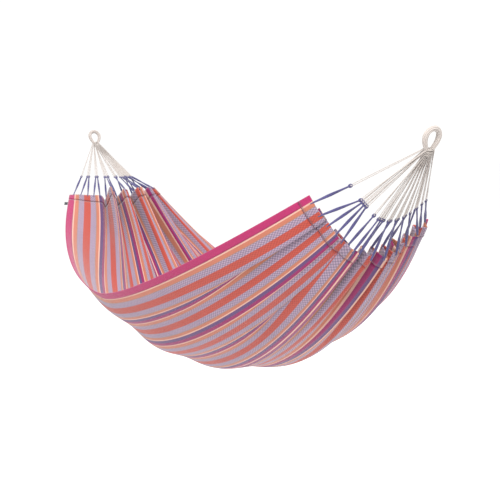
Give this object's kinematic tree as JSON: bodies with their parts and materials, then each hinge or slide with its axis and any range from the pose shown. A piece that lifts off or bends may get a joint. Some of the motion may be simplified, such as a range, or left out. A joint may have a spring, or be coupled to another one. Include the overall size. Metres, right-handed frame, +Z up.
{
  "type": "woven hammock",
  "caption": "Striped woven cloth hammock with gathered end hems, tape loops and cotton cords that fan to a rope eye at each end.",
  "frame": {"origin": "seat of the left eye, where a hook bears", "axes": "+X to the seat of the right eye, +Y across to the far side, +Z up"},
  "size_m": [2.6338, 1.0708, 1.0155],
  "materials": {
    "striped_cloth": "woven cotton, lengthwise stripes",
    "edge_band": "dense plain weave",
    "hem_cloth": "woven cotton, folded double",
    "seam_thread": "sewing thread",
    "loop_tape": "narrow woven tape",
    "cotton_cord": "twisted natural cotton",
    "binding_cord": "wrapped natural cotton",
    "label_tape": "woven label tape, blank"
  },
  "bodies": {
    "eyes": {"left_eye_rope": "cotton_cord", "left_neck_wrap": "binding_cord", "right_eye_rope": "cotton_cord", "right_neck_wrap": "binding_cord"},
    "hanging_bed": {"bed_cloth": "striped_cloth", "near_edge_band": "edge_band", "far_edge_band": "edge_band", "left_end_hem": "hem_cloth", "right_end_hem": "hem_cloth", "left_hem_seam": "seam_thread", "right_hem_seam": "seam_thread", "left_tape_loops_01": "loop_tape", "left_tape_loops_02": "loop_tape", "left_tape_loops_03": "loop_tape", "left_tape_loops_04": "loop_tape", "left_tape_loops_05": "loop_tape", "left_tape_loops_06": "loop_tape", "left_tape_loops_07": "loop_tape", "left_tape_loops_08": "loop_tape", "left_tape_loops_09": "loop_tape", "left_tape_loops_10": "loop_tape", "left_tape_loops_11": "loop_tape", "right_tape_loops_01": "loop_tape", "right_tape_loops_02": "loop_tape", "right_tape_loops_03": "loop_tape", "right_tape_loops_04": "loop_tape", "right_tape_loops_05": "loop_tape", "right_tape_loops_06": "loop_tape", "right_tape_loops_07": "loop_tape", "right_tape_loops_08": "loop_tape", "right_tape_loops_09": "loop_tape", "right_tape_loops_10": "loop_tape", "right_tape_loops_11": "loop_tape", "left_cords_01": "cotton_cord", "left_cords_02": "cotton_cord", "left_cords_03": "cotton_cord", "left_cords_04": "cotton_cord", "left_cords_05": "cotton_cord", "left_cords_06": "cotton_cord", "left_cords_07": "cotton_cord", "left_cords_08": "cotton_cord", "left_cords_09": "cotton_cord", "left_cords_10": "cotton_cord", "left_cords_11": "cotton_cord", "right_cords_01": "cotton_cord", "right_cords_02": "cotton_cord", "right_cords_03": "cotton_cord", "right_cords_04": "cotton_cord", "right_cords_05": "cotton_cord", "right_cords_06": "cotton_cord", "right_cords_07": "cotton_cord", "right_cords_08": "cotton_cord", "right_cords_09": "cotton_cord", "right_cords_10": "cotton_cord", "right_cords_11": "cotton_cord"},
    "label": {"label_tag": "label_tape"}
  },
  "joints": [
    {"name": "bed_swing", "type": "hinge", "parent": "eyes", "child": "hanging_bed", "pos_m": [0.02, 0, -0.058], "axis": [1, 0, 0], "range_deg": [-35, 35]},
    {"name": "label_flap", "type": "hinge", "parent": "hanging_bed", "child": "label", "pos_m": [0.2882, -0.26278, -0.34886], "axis": [0.8308, -0.3974, -0.3896], "range_deg": [-60, 60]}
  ]
}
